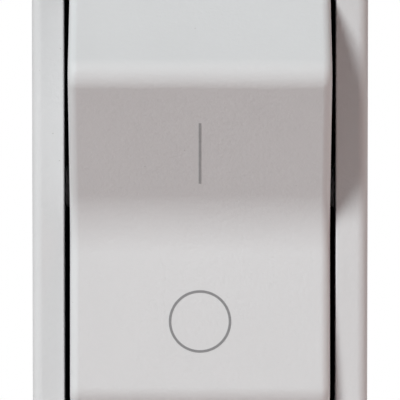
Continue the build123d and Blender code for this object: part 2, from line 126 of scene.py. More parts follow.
class Graph:
    """Node tree of one material, with short calls that add and join its nodes."""

    def __init__(self, name: str) -> None:
        """Starts a material with its shader and the Object coordinates that its patterns read.

        Args:
            name: the material's name.
        """
        self.material: Material = bpy.data.materials.new(name)
        self.material.use_nodes = True
        tree = self.material.node_tree
        self.nodes = tree.nodes
        self.links = tree.links
        self.shader: Node = tree.nodes["Principled BSDF"]
        self.place: NodeSocket = tree.nodes.new("ShaderNodeTexCoord").outputs["Object"]

    def feed(self, socket: NodeSocket, value: object) -> None:
        """Links an output to an input, or sets the input's own value.

        Args:
            socket: the input.
            value: an output to link, or a plain value.
        """
        if isinstance(value, NodeSocket):
            self.links.new(value, socket)
        else:
            socket.default_value = value

    def add(self, kind: str, inputs: dict[str | int, object], **settings: object) -> Node:
        """Adds a node.

        Args:
            kind: the node's type.
            inputs: what feeds each input.
            settings: the node's own properties.

        Returns:
            The new node.
        """
        node = self.nodes.new(kind)
        for name, value in settings.items():
            setattr(node, name, value)
        for key, value in inputs.items():
            self.feed(node.inputs[key], value)
        return node

    def noise(self, grain: float, detail: float = 2.0, stretch: Stretch = (1, 1, 1)) -> NodeSocket:
        """Cloudy noise.

        Args:
            grain: size of its patches.
            detail: how many finer layers it has.
            stretch: scale of the pattern along X, Y and Z, under 1 where it is drawn out.

        Returns:
            The noise, mostly from NOISE_LOW to NOISE_HIGH.
        """
        place = self.add("ShaderNodeMapping", {"Vector": self.place, "Scale": stretch}).outputs[0]
        inputs = {"Vector": place, "Scale": 1 / grain, "Detail": detail}
        return self.add("ShaderNodeTexNoise", inputs).outputs[0]

    def spread(self, value: NodeSocket, low: float, high: float) -> NodeSocket:
        """Stretches a noise's usual range to another one.

        Args:
            value: the noise.
            low: what its low values become.
            high: what its high values become.

        Returns:
            The stretched value.
        """
        inputs = {"From Min": NOISE_LOW, "From Max": NOISE_HIGH, "To Min": low, "To Max": high}
        return self.add("ShaderNodeMapRange", {"Value": value, **inputs}).outputs[0]

    def math(self, operation: str, first: object, second: object) -> NodeSocket:
        """Sum, product or comparison of two values.

        Args:
            operation: what is worked out.
            first: the first value.
            second: the second value.

        Returns:
            The result.
        """
        return self.add("ShaderNodeMath", {0: first, 1: second}, operation=operation).outputs[0]

    def mean(self, first: NodeSocket, second: NodeSocket) -> NodeSocket:
        """Mean of two values."""
        return self.math("MULTIPLY", self.math("ADD", first, second), 0.5)

    def mix(self, share: object, first: object, second: object) -> NodeSocket:
        """Mixes two colours.

        Args:
            share: how much of the second colour there is.
            first: colour at a share of 0.
            second: colour at a share of 1.

        Returns:
            The mixed colour.
        """
        colours = [(*c, 1.0) if isinstance(c, tuple) else c for c in (first, second)]
        inputs = {0: share, 6: colours[0], 7: colours[1]}
        return self.add("ShaderNodeMix", inputs, data_type="RGBA").outputs[2]

    def relief(self, layers: list[tuple[NodeSocket, float]]) -> None:
        """Gives the shader a fine relief.

        Args:
            layers: height patterns with the depth of each.
        """
        normal: object = None
        for height, depth in layers:
            inputs = {"Height": height, "Distance": depth}
            if normal is not None:
                inputs["Normal"] = normal
            normal = self.add("ShaderNodeBump", inputs).outputs[0]
        self.feed(self.shader.inputs["Normal"], normal)


def shaded(colour: Colour, share: float) -> Colour:
    """Colour made lighter or darker by a share of itself."""
    return tuple(channel * share for channel in colour)


@dataclass(frozen=True)
class Moulding:
    """Moulded plastic: a clouded colour with faint specks, and a fine spark-eroded grain."""

    name: str
    colour: Colour
    cloud: float = 0.012
    cloud_size: float = 5 * MM
    cloud_detail: float = 4.0
    roughness: tuple[float, float] = (0.36, 0.46)
    grain: float = 0.09 * MM
    grain_depth: float = 0.0012 * MM
    sink_depth: float = 0.006 * MM
    sink_detail: float = 1.0
    speck_spacing: float = 2.0 * MM
    speck_radius: float = 0.05 * MM
    speck_strength: float = 0.35
    speck_colour: Colour = (0.2, 0.18, 0.16)

    def material(self) -> Material:
        """Mixes this plastic.

        Returns:
            Its material.
        """
        graph = Graph(self.name)
        cloud = graph.noise(self.cloud_size, self.cloud_detail)
        tones = shaded(self.colour, 1 - self.cloud), shaded(self.colour, 1 + self.cloud)
        clouded = graph.mix(graph.spread(cloud, 0, 1), *tones)
        cells = {"Vector": graph.place, "Scale": 1 / self.speck_spacing}
        nearest = graph.add("ShaderNodeTexVoronoi", cells).outputs["Distance"]
        speck = graph.math("LESS_THAN", nearest, self.speck_radius / self.speck_spacing)
        speck = graph.math("MULTIPLY", speck, self.speck_strength)
        graph.feed(graph.shader.inputs["Base Color"], graph.mix(speck, clouded, self.speck_colour))
        graph.feed(graph.shader.inputs["Roughness"], graph.spread(cloud, *self.roughness))
        sinks = graph.noise(self.cloud_size, self.sink_detail)
        graph.relief([(sinks, self.sink_depth), (graph.noise(self.grain), self.grain_depth)])
        return graph.material


@dataclass(frozen=True)
class Metal:
    """Worked metal: streaked along the way it was drawn or rolled, with patches of tarnish."""

    name: str
    colour: Colour
    tarnish: Colour
    tarnish_share: float = 0.35
    patch: float = 3 * MM
    patch_detail: float = 5.0
    roughness: tuple[float, float] = (0.24, 0.42)
    streak: float = 0.12 * MM
    along: Stretch = (1, 1, 0.06)
    streak_depth: float = 0.0015 * MM

    def material(self) -> Material:
        """Mixes this metal.

        Returns:
            Its material.
        """
        graph = Graph(self.name)
        patches = graph.noise(self.patch, self.patch_detail)
        streaks = graph.noise(self.streak, stretch=self.along)
        share = graph.math("MULTIPLY", graph.spread(patches, 0, 1), self.tarnish_share)
        graph.feed(graph.shader.inputs["Base Color"], graph.mix(share, self.colour, self.tarnish))
        worn = graph.mean(patches, streaks)
        graph.feed(graph.shader.inputs["Roughness"], graph.spread(worn, *self.roughness))
        graph.shader.inputs["Metallic"].default_value = 1.0
        graph.relief([(patches, self.streak_depth), (streaks, self.streak_depth)])
        return graph.material


@dataclass(frozen=True)
class Ink:
    """Printed ink, a little uneven where it covers the plastic."""

    name: str
    colour: Colour
    thin: float = 0.08
    blotch: float = 0.15 * MM
    blotch_detail: float = 3.0
    blotch_depth: float = 0.001 * MM
    roughness: tuple[float, float] = (0.42, 0.58)

    def material(self) -> Material:
        """Mixes this ink.

        Returns:
            Its material.
        """
        graph = Graph(self.name)
        blotches = graph.noise(self.blotch, self.blotch_detail)
        tones = shaded(self.colour, 1 - self.thin), shaded(self.colour, 1 + self.thin)
        graph.feed(graph.shader.inputs["Base Color"], graph.mix(graph.spread(blotches, 0, 1), *tones))
        graph.feed(graph.shader.inputs["Roughness"], graph.spread(blotches, *self.roughness))
        graph.relief([(blotches, self.blotch_depth)])
        return graph.material


FINISHES: dict[Slot, Moulding | Metal] = {
    Slot.WHITE_MOULDING: Moulding(
        "white moulding",
        (0.625, 0.625, 0.63),
        roughness=(0.62, 0.72),
        grain=0.3 * MM,
        grain_depth=0.02 * MM,
    ),
    Slot.DARK_PHENOLIC: Moulding(
        "dark phenolic",
        (0.032, 0.016, 0.012),
        cloud=0.35,
        cloud_size=2.2 * MM,
        roughness=(0.6, 0.75),
        speck_spacing=1.1 * MM,
        speck_strength=0.5,
        speck_colour=(0.09, 0.05, 0.035),
    ),
    Slot.ZINC_STEEL: Metal("zinc plated steel", (0.66, 0.67, 0.68), (0.56, 0.55, 0.5)),
    Slot.RIVET_STEEL: Metal("rivet steel", (0.6, 0.6, 0.61), (0.46, 0.44, 0.42), patch=1.2 * MM),
    Slot.SPRING_STEEL: Metal("spring wire", (0.42, 0.42, 0.43), (0.28, 0.26, 0.25), along=(1, 0.2, 1)),
    Slot.STRIP_BRASS: Metal("rolled brass", (0.78, 0.57, 0.25), (0.5, 0.33, 0.13)),
    Slot.BLOCK_BRASS: Metal("machined brass", (0.82, 0.62, 0.29), (0.6, 0.42, 0.17), along=(0.06, 1, 1)),
    Slot.SCREW_BRASS: Metal("turned brass", (0.8, 0.6, 0.27), (0.52, 0.36, 0.15), along=(1, 0.3, 1)),
    Slot.CONTACT_SILVER: Metal("contact silver", (0.87, 0.86, 0.83), (0.62, 0.58, 0.5), patch=0.8 * MM),
    Slot.PLUNGER_NYLON: Moulding(
        "plunger nylon", (0.62, 0.6, 0.52), cloud=0.04, cloud_size=1.5 * MM, roughness=(0.42, 0.55)
    ),
}
# The I mark's ink is the O mark's ink painted lighter: painted light that keeps the I mark, on the shaded I face,
# about as light as the O mark.
ON_INK = Ink("mark ink painted lighter", (0.33, 0.335, 0.34))
OFF_INK = Ink("mark ink", (0.22, 0.22, 0.225))


class Pen:
    """Draws an outline vertex by vertex, with straight runs extruded and arcs spun."""

    STEP = radians(5)
    LEAST_STEPS = 4

    def __init__(self, mesh: BMesh, start: Vector) -> None:
        """Sets the pen down.

        Args:
            mesh: the mesh that takes the outline.
            start: the first point.
        """
        self.mesh = mesh
        self.tip: BMVert = mesh.verts.new(start)

    def line(self, point: Vector) -> None:
        """Draws a straight run to a point.

        Args:
            point: where the run ends.
        """
        made = bmesh.ops.extrude_vert_indiv(self.mesh, verts=[self.tip])
        self.tip = made["verts"][0]
        self.tip.co = point

    def arc(self, centre: Vector, angle: float) -> None:
        """Draws an arc about an axis along X.

        Args:
            centre: the arc's centre.
            angle: how far it turns, positive from +Y towards +Z.
        """
        steps = max(self.LEAST_STEPS, round(abs(angle) / self.STEP))
        drawn = bmesh.ops.spin(
            self.mesh, geom=[self.tip], cent=centre, axis=(1, 0, 0), angle=angle, steps=steps
        )
        self.tip = vertices(drawn["geom_last"])[0]


def block(mesh: BMesh, low: Vector, high: Vector) -> list[BMVert]:
    """Adds a rectangular block.

    Args:
        mesh: the mesh that takes it.
        low: its lowest corner.
        high: its highest corner.

    Returns:
        Its vertices.
    """
    size = Matrix.Diagonal((*(high - low), 1))
    return bmesh.ops.create_cube(mesh, size=1, matrix=Matrix.Translation((low + high) / 2) @ size)["verts"]


def vertices(geom: list[object]) -> list[BMVert]:
    """Vertices among what an operator gave back."""
    return [item for item in geom if isinstance(item, BMVert)]


def at_depth(mesh: BMesh, y: float) -> list[BMEdge]:
    """Open edges that lie in a plane square to Y.

    Args:
        mesh: the mesh.
        y: the plane's place.

    Returns:
        The edges.
    """
    edges = [edge for edge in mesh.edges if len(edge.link_faces) == 1]
    return [edge for edge in edges if all(abs(vert.co.y - y) < MERGE for vert in edge.verts)]


def open_at(mesh: BMesh, y: float) -> None:
    """Takes away the faces that lie in a plane square to Y.

    Args:
        mesh: the mesh.
        y: the plane's place.
    """
    flat = [face for face in mesh.faces if all(abs(vert.co.y - y) < MERGE for vert in face.verts)]
    bmesh.ops.delete(mesh, geom=flat, context="FACES")


def round_edges(mesh: BMesh, edges: list[BMEdge], radius: float, segments: int) -> None:
    """Rounds edges.

    Args:
        mesh: the mesh.
        edges: the edges.
        radius: the round's radius.
        segments: how many flats it has.
    """
    bmesh.ops.bevel(
        mesh,
        geom=edges,
        offset=radius,
        offset_type="OFFSET",
        segments=segments,
        profile=0.5,
        affect="EDGES",
        material=-1,
    )


def draw_out(mesh: BMesh, geom: list[object], by: tuple[float, float, float]) -> list[BMVert]:
    """Draws flat faces out into a closed block.

    Args:
        mesh: the mesh.
        geom: the faces.
        by: how far they are drawn.

    Returns:
        The vertices that were moved.
    """
    moved = vertices(bmesh.ops.extrude_face_region(mesh, geom=geom)["geom"])
    bmesh.ops.translate(mesh, verts=moved, vec=by)
    return moved


def side_block(mesh: BMesh, half_width: float) -> None:
    """Mirrors a half outline that lies on the left side, and draws the whole out to the right side.

    Args:
        mesh: the mesh, with nothing but the half outline in it, from the middle plane to the middle plane.
        half_width: half the block's width.
    """
    bmesh.ops.mirror(mesh, geom=[*mesh.verts, *mesh.edges], axis="Z", merge_dist=MERGE)
    side = bmesh.ops.contextual_create(mesh, geom=mesh.edges[:])["faces"]
    draw_out(mesh, side, (2 * half_width, 0, 0))


def pour(mesh: BMesh, other: BMesh) -> None:
    """Moves everything in a second mesh into the first.

    Args:
        mesh: the mesh that takes it.
        other: the mesh that is emptied and freed.
    """
    passing = bpy.data.meshes.new("passing")
    other.to_mesh(passing)
    other.free()
    mesh.from_mesh(passing)
    bpy.data.meshes.remove(passing)


def turned(mesh: BMesh, centre: Vector, profile: list[tuple[float, float]], flats: int) -> None:
    """Adds a solid turned about an axis along Y.

    Args:
        mesh: the mesh that takes it.
        centre: a point on the axis.
        profile: radius and distance along Y of each point of the half section, from axis to axis.
        flats: how many flats go round.
    """
    chain = [mesh.verts.new(centre + Vector((radius, along, 0))) for radius, along in profile]
    edges = [mesh.edges.new(pair) for pair in zip(chain, chain[1:])]
    before = set(mesh.verts) - set(chain)
    bmesh.ops.spin(
        mesh, geom=[*chain, *edges], cent=centre, axis=(0, 1, 0), angle=2 * pi, steps=flats, use_merge=True
    )
    made = [vert for vert in mesh.verts if vert not in before]
    bmesh.ops.remove_doubles(mesh, verts=made, dist=MERGE)


def coil(mesh: BMesh, section: BMFace, axis_at: Vector, runs: list[tuple[float, float]]) -> None:
    """Winds a section about an axis along Y, with flat ends.

    Args:
        mesh: the mesh that takes it.
        section: the section's face, which the coil starts from.
        axis_at: a point on the axis.
        runs: turns of each run of the coil, and how far it goes along Y.
    """
    last: list[object] = [section, *section.edges, *section.verts]
    for turns, rise in runs:
        steps = round(turns * COIL_FLATS)
        wound = bmesh.ops.spin(
            mesh,
            geom=last,
            cent=axis_at,
            axis=(0, 1, 0),
            dvec=(0, rise / steps, 0),
            angle=2 * pi * turns,
            steps=steps,
        )
        last = wound["geom_last"]


def settle(
    mesh: BMesh, name: str, material: Material, body: Body, stands_for: str = ""
) -> Object:
    """Turns a finished bmesh into a piece that rides on a body.

    Args:
        mesh: the finished mesh, which is freed.
        name: the piece's name.
        material: its material.
        body: the body that carries it.
        stands_for: the node that the piece stands for.

    Returns:
        The piece.
    """
    bmesh.ops.recalc_face_normals(mesh, faces=mesh.faces)
    data = bpy.data.meshes.new(name)
    mesh.to_mesh(data)
    mesh.free()
    data.shade_smooth()
    data.set_sharp_from_angle(angle=SHARP_ANGLE)
    data.materials.append(material)
    piece = bpy.data.objects.new(name, data)
    bpy.context.scene.collection.objects.link(piece)
    piece.modifiers.new("even_shading", "WEIGHTED_NORMAL").keep_sharp = True
    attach(piece, body.value)
    if stands_for:
        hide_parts(stands_for)
    log.info("%s rides on %s with %d faces", name, body.value, len(data.polygons))
    return piece


def rocker_place() -> Matrix:
    """Place of what is drawn about the rocker's pivot: half the throw over, with the O half pressed in."""
    joint = JOINTS["rocker_tilt"]
    return Matrix.Translation(joint["pos_m"]) @ Matrix.Rotation(radians(joint["range_deg"][1]) / 2, 4, "X")


@dataclass
class Rocker:
    """White rocker with its printed marks, drawn about its pivot and set down with the O half pressed in."""

    material: Material
    on_ink: Material
    off_ink: Material
    width: float = 19.35 * MM
    crest_half_span: float = 13.12 * MM
    valley_reach: float = 7.89 * MM
    face_slope: float = radians(20)
    end_slope: float = radians(67)
    skirt_step: float = 0.35 * MM
    wall: float = 1.8 * MM
    rim_drop: float = 0.3 * MM
    edge_round: float = 0.7 * MM
    edge_flats: int = 8
    crest_round: float = 1.66 * MM
    valley_round: float = 6.75 * MM
    shoulder_round: float = 2.0 * MM
    spine: float = 1.6 * MM
    stub_radius: float = 1.6 * MM
    sleeve_radius: float = 2.6 * MM
    sleeve_bore: float = 1.55 * MM
    sleeve_drop: float = 4.5 * MM
    sleeve_bottom: float = 3.2 * MM
    mark_line: float = 0.19 * MM
    mark_proud: float = 0.012 * MM
    on_place: float = 6.0 * MM
    on_length: float = 5.71 * MM
    off_place: float = -7.06 * MM
    off_radius: float = 2.323 * MM
    off_flats: int = 128

    def __post_init__(self) -> None:
        """Takes the pivot, the tilt at rest and the stubs' reach from the frame, and works out the crest."""
        self.placed = rocker_place()
        self.stub_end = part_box("rocker")[1].x
        self.crest = Vector((0, -self.face_reach(self.crest_half_span), self.crest_half_span))
        self.skirt_radius = self.crest.length - self.skirt_step
        self.up_face = Vector((0, -sin(self.face_slope), cos(self.face_slope)))
        self.up_end = Vector((0, sin(self.end_slope), cos(self.end_slope)))

    def face_reach(self, z: float) -> float:
        """How far forward of the pivot a pressing face lies.

        Args:
            z: height from the pivot.

        Returns:
            The distance, before the valley is rounded.
        """
        return self.valley_reach + abs(z) * tan(self.face_slope)

    @staticmethod
    def inward(along: Vector) -> Vector:
        """Direction into the rocker from a face that runs upwards along a direction."""
        return Vector((0, along.z, -along.y))

    def under_shoulder(self, depth: float) -> Vector:
        """Point that lies equally deep under an end face and the skirt.

        Args:
            depth: the distance from both.

        Returns:
            The point.
        """
        foot = self.crest + depth * self.inward(self.up_end)
        along = foot.dot(self.up_end)
        run = sqrt(along**2 - foot.length_squared + (self.skirt_radius - depth) ** 2) - along
        return foot + run * self.up_end

    def skirt_to_rim(self, pen: Pen) -> None:
        """Draws the skirt from the pen's place down to the rim, and the rim to the middle.

        Args:
            pen: the pen, on the skirt's arc.
        """
        place = pen.tip.co.copy()
        rim_angle = atan2(sqrt(place.y**2 + place.z**2 - self.rim_drop**2), self.rim_drop)
        pen.arc(Vector((place.x, 0, 0)), rim_angle - atan2(place.z, place.y))
        pen.line(Vector((place.x, self.rim_drop, 0)))

    def outer_half(self, mesh: BMesh, x: float) -> None:
        """Draws the upper half of the outside, from the valley to the rim.

        Args:
            mesh: the mesh that takes it.
            x: the plane that it lies in.
        """
        aside = Vector((x, 0, 0))
        bowl = Vector((x, -self.valley_reach - self.valley_round / cos(self.face_slope), 0))
        pen = Pen(mesh, bowl + Vector((0, self.valley_round, 0)))
        pen.arc(bowl, self.face_slope)
        turn = self.face_slope + self.end_slope
        crest_start = self.crest - self.up_face * self.crest_round * tan(turn / 2)
        pen.line(aside + crest_start)
        pen.arc(aside + crest_start + self.crest_round * self.inward(self.up_face), -turn)
        corner = self.under_shoulder(self.shoulder_round)
        leaving = -self.inward(self.up_end)
        pen.line(aside + corner + self.shoulder_round * leaving)
        pen.arc(aside + corner, atan2(corner.z, corner.y) - atan2(leaving.z, leaving.y))
        self.skirt_to_rim(pen)

    def inner_half(self, mesh: BMesh, x: float) -> None:
        """Draws the upper half of the hollow, one wall inside the outside.

        Args:
            mesh: the mesh that takes it.
            x: the plane that it lies in.
        """
        aside = Vector((x, 0, 0))
        into = self.inward(self.up_face) + self.inward(self.up_end)
        half_turn = (self.face_slope + self.end_slope) / 2
        pen = Pen(mesh, Vector((x, -self.valley_reach + self.wall / cos(self.face_slope), 0)))
        pen.line(aside + self.crest + into.normalized() * self.wall / cos(half_turn))
        pen.line(aside + self.under_shoulder(self.wall))
        self.skirt_to_rim(pen)

    def shell(self) -> BMesh:
        """Outside with rounded edges, joined at the rim to the hollow.

        Returns:
            The closed shell, about the pivot.
        """
        mesh, room = bmesh.new(), bmesh.new()
        for target, half_width, draw_half in (
            (mesh, self.width / 2, self.outer_half),
            (room, self.width / 2 - self.wall, self.inner_half),
        ):
            draw_half(target, -half_width)
            side_block(target, half_width)
            open_at(target, self.rim_drop)
        across = [edge for edge in mesh.edges if abs(edge.verts[0].co.x - edge.verts[1].co.x) < MERGE]
        round_edges(mesh, [edge for edge in across if not edge.is_boundary], self.edge_round, self.edge_flats)
        pour(mesh, room)
        bmesh.ops.bridge_loops(mesh, edges=at_depth(mesh, self.rim_drop))
        return mesh

    def inside(self, mesh: BMesh) -> None:
        """Adds the spine between the plunger sleeves, the sleeves and the pivot stubs.

        Args:
            mesh: the shell, about its pivot.
        """
        roof = -self.valley_reach + self.wall / 2
        half = self.width / 2 - self.wall / 2
        in_wall = (self.sleeve_radius + self.sleeve_bore) / 2
        stops = sorted([-half, half, *(pole.x + side * in_wall for pole in Pole for side in (-1, 1))])
        for left, right in zip(stops[::2], stops[1::2]):
            block(mesh, Vector((left, roof, -self.spine / 2)), Vector((right, self.rim_drop, self.spine / 2)))
        for pole in Pole:
            profile = [
                (0, -self.sleeve_bottom),
                (self.sleeve_bore, -self.sleeve_bottom),
                (self.sleeve_bore, self.sleeve_drop),
                (self.sleeve_radius, self.sleeve_drop),
                (self.sleeve_radius, roof),
                (0, roof),
            ]
            turned(mesh, Vector((pole.x, 0, 0)), profile, ROUND_FLATS)
        for side in (-1, 1):
            length = self.stub_end - half
            place = Matrix.Translation((side * (half + length / 2), 0, 0)) @ Matrix.Rotation(pi / 2, 4, "Y")
            bmesh.ops.create_cone(
                mesh,
                cap_ends=True,
                segments=ROUND_FLATS,
                radius1=self.stub_radius,
                radius2=self.stub_radius,
                depth=length,
                matrix=place,
            )

    def face_place(self, z: float) -> Matrix:
        """Place of a mark on a pressing face: X across, Y up the face, Z out of it.

        Args:
            z: height of the mark's middle from the pivot.

        Returns:
            The place, in the part's frame.
        """
        lean = pi / 2 + (self.face_slope if z > 0 else -self.face_slope)
        middle = Matrix.Translation((0, -self.face_reach(z), z))
        return self.placed @ middle @ Matrix.Rotation(lean, 4, "X")

    def print_mark(self, mesh: BMesh, z: float, name: str, ink: Material) -> None:
        """Raises a flat mark into a film of ink and lays it on its face.

        Args:
            mesh: the flat mark, in its own plane.
            z: height of its middle from the pivot.
            name: the piece's name.
            ink: the ink's material.
        """
        bmesh.ops.translate(mesh, verts=mesh.verts, vec=(0, 0, -self.mark_proud))
        draw_out(mesh, mesh.faces[:], (0, 0, 2 * self.mark_proud))
        bmesh.ops.transform(mesh, matrix=self.face_place(z), verts=mesh.verts)
        settle(mesh, name, ink, Body.ROCKER)

    def build(self) -> None:
        """Builds the rocker and prints its two marks."""
        mesh = self.shell()
        self.inside(mesh)
        bmesh.ops.transform(mesh, matrix=self.placed, verts=mesh.verts)
        settle(
            mesh,
            "rocker_moulding",
            self.material,
            Body.ROCKER,
            stands_for="rocker",
        )
        stroke = bmesh.new()
        size = Matrix.Diagonal((self.mark_line, self.on_length, 1, 1))
        bmesh.ops.create_grid(stroke, x_segments=1, y_segments=1, size=0.5, matrix=size)
        self.print_mark(stroke, self.on_place, "mark_on", self.on_ink)
        ring = bmesh.new()
        for radius in (self.off_radius, self.off_radius - self.mark_line):
            bmesh.ops.create_circle(ring, segments=self.off_flats, radius=radius)
        bmesh.ops.bridge_loops(ring, edges=ring.edges[:])
        self.print_mark(ring, self.off_place, "mark_off", self.off_ink)


@dataclass
class Bezel:
    """White front frame: rounded outside, an aperture round the rocker's sweep, and two lugs behind."""

    material: Material
    corner_round: float = 2.0 * MM
    corner_flats: int = 10
    edge_round: float = 0.8 * MM
    edge_flats: int = 8
    lip_round: float = 0.12 * MM
    lip_flats: int = 4
    aperture_half_width: float = 10.115 * MM
    end_rail: float = 1.65 * MM
    lug_thickness: float = 1.2 * MM
    lug_height: float = 7.0 * MM
    lug_root: float = 0.3 * MM
    bearing_radius: float = 1.65 * MM
    snap_proud: float = 0.6 * MM
    snap_height: float = 4.0 * MM
    snap_depth: float = 0.8 * MM
    snap_setback: float = 0.4 * MM
    snap_round: float = 0.2 * MM
    snap_flats: int = 3

    def __post_init__(self) -> None:
        """Takes the outer size and the pivot from the frame, and the rocker's sweep from its height."""
        low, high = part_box("bezel")
        self.front = low.y
        self.width = high.x - low.x
        self.height = high.z - low.z
        self.lug_tail = high.y
        self.pivot = Vector(JOINTS["rocker_tilt"]["pos_m"])
        self.sweep_radius = self.height / 2 - self.end_rail

    def outside(self) -> BMesh:
        """Rounded outer wall, open at the front and the back.

        Returns:
            The wall.
        """
        mesh = bmesh.new()
        size = Matrix.Rotation(pi / 2, 4, "X") @ Matrix.Diagonal((self.width, self.height, 1, 1))
        bmesh.ops.create_grid(mesh, x_segments=1, y_segments=1, size=0.5, matrix=size)
        bmesh.ops.bevel(
            mesh,
            geom=mesh.verts[:],
            offset=self.corner_round,
            offset_type="OFFSET",
            segments=self.corner_flats,
            profile=0.5,
            affect="VERTICES",
            material=-1,
        )
        moved = draw_out(mesh, mesh.faces[:], (0, self.front, 0))
        front = [edge for edge in mesh.edges if all(vert in moved for vert in edge.verts)]
        round_edges(mesh, front, self.edge_round, self.edge_flats)
        open_at(mesh, 0)
        open_at(mesh, self.front)
        return mesh

    def aperture(self) -> BMesh:
        """Walls of the aperture, with the rounded lip at the front.

        Returns:
            The walls, open at the front and the back.
        """
        mesh = bmesh.new()
        x, lip = -self.aperture_half_width, self.front + self.lip_round
        ahead, behind = lip - self.pivot.y, -self.pivot.y
        reach = sqrt(self.sweep_radius**2 - ahead**2)
        pen = Pen(mesh, Vector((x, lip, 0)))
        pen.line(Vector((x, lip, reach)))
        back_angle = atan2(sqrt(self.sweep_radius**2 - behind**2), behind)
        pen.arc(Vector((x, self.pivot.y, 0)), back_angle - atan2(reach, ahead))
        pen.line(Vector((x, 0, 0)))
        side_block(mesh, self.aperture_half_width)
        open_at(mesh, 0)
        open_at(mesh, lip)
        self.flare(mesh, at_depth(mesh, lip))
        return mesh

    def flare(self, mesh: BMesh, loop: list[BMEdge]) -> None:
        """Carries the aperture's front edge outwards in a quarter round.

        Args:
            mesh: the aperture's walls.
            loop: the edges that its front ends in.
        """
        turn = pi / 2 / self.lip_flats
        for step in range(self.lip_flats):
            made = bmesh.ops.extrude_edge_only(mesh, edges=loop)["geom"]
            loop = [item for item in made if isinstance(item, BMEdge)]
            out = self.lip_round * (cos(step * turn) - cos((step + 1) * turn))
            forward = self.lip_round * (sin((step + 1) * turn) - sin(step * turn))
            for sign_x in (-1, 1):
                side = [vert for vert in vertices(made) if vert.co.x * sign_x > 0]
                bmesh.ops.translate(mesh, verts=side, vec=(sign_x * out, -forward, 0))
            for sign_z in (-1, 1):
                end = [vert for vert in vertices(made) if vert.co.z * sign_z > self.sweep_radius / 2]
                bmesh.ops.translate(mesh, verts=end, vec=(0, 0, sign_z * out))

    def pivot_lug(self, side: int) -> BMesh:
        """Lug behind the frame, with its bearing hole and snap ridge.

        Args:
            side: -1 for the left, 1 for the right.

        Returns:
            The lug.
        """
        mesh = bmesh.new()
        inner = side * self.aperture_half_width
        outer = inner + side * self.lug_thickness
        upright = Matrix.Rotation(pi / 2, 4, "Y")
        middle = Vector((inner, (self.lug_tail - self.lug_root) / 2, 0))
        size = Matrix.Diagonal((self.lug_height, self.lug_tail + self.lug_root, 1, 1))
        place = Matrix.Translation(middle) @ upright @ size
        bmesh.ops.create_grid(mesh, x_segments=1, y_segments=1, size=0.5, matrix=place)
        bmesh.ops.delete(mesh, geom=mesh.faces[:], context="FACES_ONLY")
        hole = Matrix.Translation((inner, self.pivot.y, 0)) @ upright
        bmesh.ops.create_circle(mesh, segments=ROUND_FLATS, radius=self.bearing_radius, matrix=hole)
        bmesh.ops.triangle_fill(mesh, use_beauty=True, edges=mesh.edges[:], normal=(1, 0, 0))
        draw_out(mesh, mesh.faces[:], (outer - inner, 0, 0))
        back = self.lug_tail - self.snap_setback
        reach = sorted((inner, outer + side * self.snap_proud))
        low = Vector((reach[0], back - self.snap_depth, -self.snap_height / 2))
        high = Vector((reach[1], back, self.snap_height / 2))
        ridge = bmesh.new()
        block(ridge, low, high)
        proud = [edge for edge in ridge.edges if all(vert.co.x * side > outer * side for vert in edge.verts)]
        round_edges(ridge, proud, self.snap_round, self.snap_flats)
        pour(mesh, ridge)
        return mesh

    def build(self) -> None:
        """Builds the bezel."""
        mesh = self.outside()
        pour(mesh, self.aperture())
        for depth in (self.front, 0):
            rims = at_depth(mesh, depth)
            bmesh.ops.triangle_fill(mesh, use_beauty=True, edges=rims, normal=(0, -1, 0))
        for side in (-1, 1):
            pour(mesh, self.pivot_lug(side))
        settle(mesh, "bezel_moulding", self.material, Body.FRAME, stands_for="bezel")


@dataclass
class PlungerSpring:
    """Coil spring that pushes a plunger out of the rocker, with closed ends."""

    material: Material
    pole: Pole
    sleeve_bottom: float
    wire: float = 0.2 * MM
    wire_flats: int = 12
    radius: float = 1.15 * MM
    length: float = 4.4 * MM
    seat_gap: float = 0.03 * MM
    end_turns: float = 1.0
    middle_turns: float = 3.0

    def build(self) -> None:
        """Winds the spring, rides it on the rocker and gives it a mesh of its own."""
        placed = rocker_place()
        seat = Vector((self.pole.x, -self.sleeve_bottom, 0))
        mesh = bmesh.new()
        first = seat + Vector((self.radius, self.wire + self.seat_gap, 0))
        circle = bmesh.ops.create_circle(
            mesh, segments=self.wire_flats, radius=self.wire, cap_ends=True, matrix=Matrix.Translation(first)
        )
        closed = self.end_turns * 2 * (self.wire + self.seat_gap)
        rise = self.length - 2 * (self.wire + self.seat_gap + closed)
        runs = [(self.end_turns, closed), (self.middle_turns, rise), (self.end_turns, closed)]
        coil(mesh, circle["verts"][0].link_faces[0], seat, runs)
        bmesh.ops.transform(mesh, matrix=placed, verts=mesh.verts)
        name = f"plunger_spring_{self.pole.value}"
        piece = settle(mesh, f"{name}_coil", self.material, Body.ROCKER, stands_for=name)
        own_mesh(piece)


